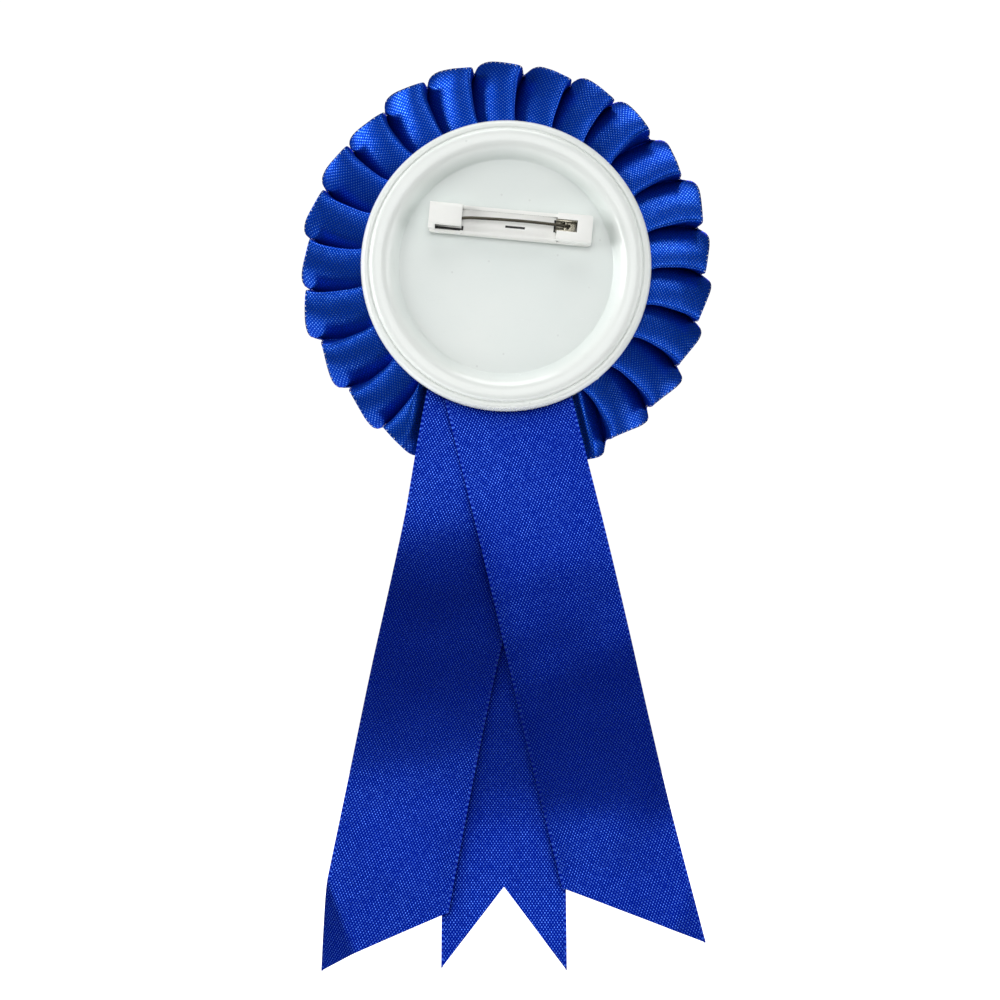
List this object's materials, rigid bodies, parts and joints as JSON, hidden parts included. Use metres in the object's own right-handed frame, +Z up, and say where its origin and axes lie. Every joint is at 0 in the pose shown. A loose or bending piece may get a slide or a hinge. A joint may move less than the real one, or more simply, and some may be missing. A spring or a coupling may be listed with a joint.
{
  "type": "award rosette ribbon",
  "caption": "Rosette award ribbon: pleated satin ruffle, hanging satin tails, domed button front, and a plastic back that carries a bar pin.",
  "frame": {"origin": "centre of the plane in which the rim of the plastic back touches the garment", "axes": "+Z up as worn, +X to the right when looking at the back, +Y away from the garment towards the button front"},
  "size_m": [0.0838, 0.0191, 0.1828],
  "materials": {
    "back_plastic": "moulded, glossy, faint scuffs in the pan",
    "pin_plastic": "moulded, soft gloss",
    "foam_tape": "matt closed-cell foam tape",
    "clip_steel": "bright nickel-plated pressing",
    "pin_wire_steel": "dull drawn steel wire",
    "tail_satin": "satin weave with woven selvedges",
    "ruffle_satin": "satin weave, knife pleated",
    "card": "uncoated grey board",
    "glue": "cloudy hot-melt glue",
    "tinplate": "bright tinplate",
    "printed_paper": "printed coated paper",
    "clear_film": "clear glossy polyester film"
  },
  "bodies": {
    "rosette": {"badge_back": "back_plastic", "pin_adhesive_pad": "foam_tape", "pin_bar": "pin_plastic", "pin_hinge_clip": "clip_steel", "pin_rivet": "clip_steel", "tail_right_clamped_end": "tail_satin", "tail_left_clamped_end": "tail_satin", "tail_centre_clamped_end": "tail_satin", "ruffle": "ruffle_satin", "ruffle_card": "card", "glue_pad": "glue", "front_back_disc": "tinplate", "front_shell": "tinplate", "artwork_disc": "printed_paper", "clear_film": "clear_film"},
    "pin_eye": {"pin_knuckle": "pin_wire_steel"},
    "pin_wire": {"pin_stem": "pin_wire_steel"},
    "right_tail": {"tail_right": "tail_satin"},
    "left_tail": {"tail_left": "tail_satin"},
    "centre_tail": {"tail_centre": "tail_satin"}
  },
  "joints": [
    {"name": "pin_swing", "type": "hinge", "parent": "rosette", "child": "pin_eye", "pos_m": [0.01179, 0.0003, 0.00749], "axis": [0.0924, 0, 0.9957], "range_deg": [0, 95], "deforming": ["pin_stem"]},
    {"name": "pin_flex", "type": "hinge", "parent": "pin_eye", "child": "pin_wire", "pos_m": [0.0102, -0.00042, 0.00769], "axis": [0, -1, 0], "range_deg": [0, 9], "stiffness_Nm_per_rad": 0.02, "deforming": ["pin_stem"]},
    {"name": "tail_right_lift", "type": "hinge", "parent": "rosette", "child": "right_tail", "pos_m": [0.0012, 0.0047, -0.0293], "axis": [-1, 0, 0], "range_deg": [0, 60]},
    {"name": "tail_left_lift", "type": "hinge", "parent": "rosette", "child": "left_tail", "pos_m": [-0.0041, 0.0056, -0.0293], "axis": [-1, 0, 0], "range_deg": [0, 48]},
    {"name": "tail_centre_lift", "type": "hinge", "parent": "rosette", "child": "centre_tail", "pos_m": [-0.0004, 0.0065, -0.0293], "axis": [-1, 0, 0], "range_deg": [0, 36]}
  ],
  "couplings": [
    {"joint": "tail_left_lift", "follows": "tail_right_lift", "ratio": 0.8},
    {"joint": "tail_centre_lift", "follows": "tail_right_lift", "ratio": 0.6}
  ]
}
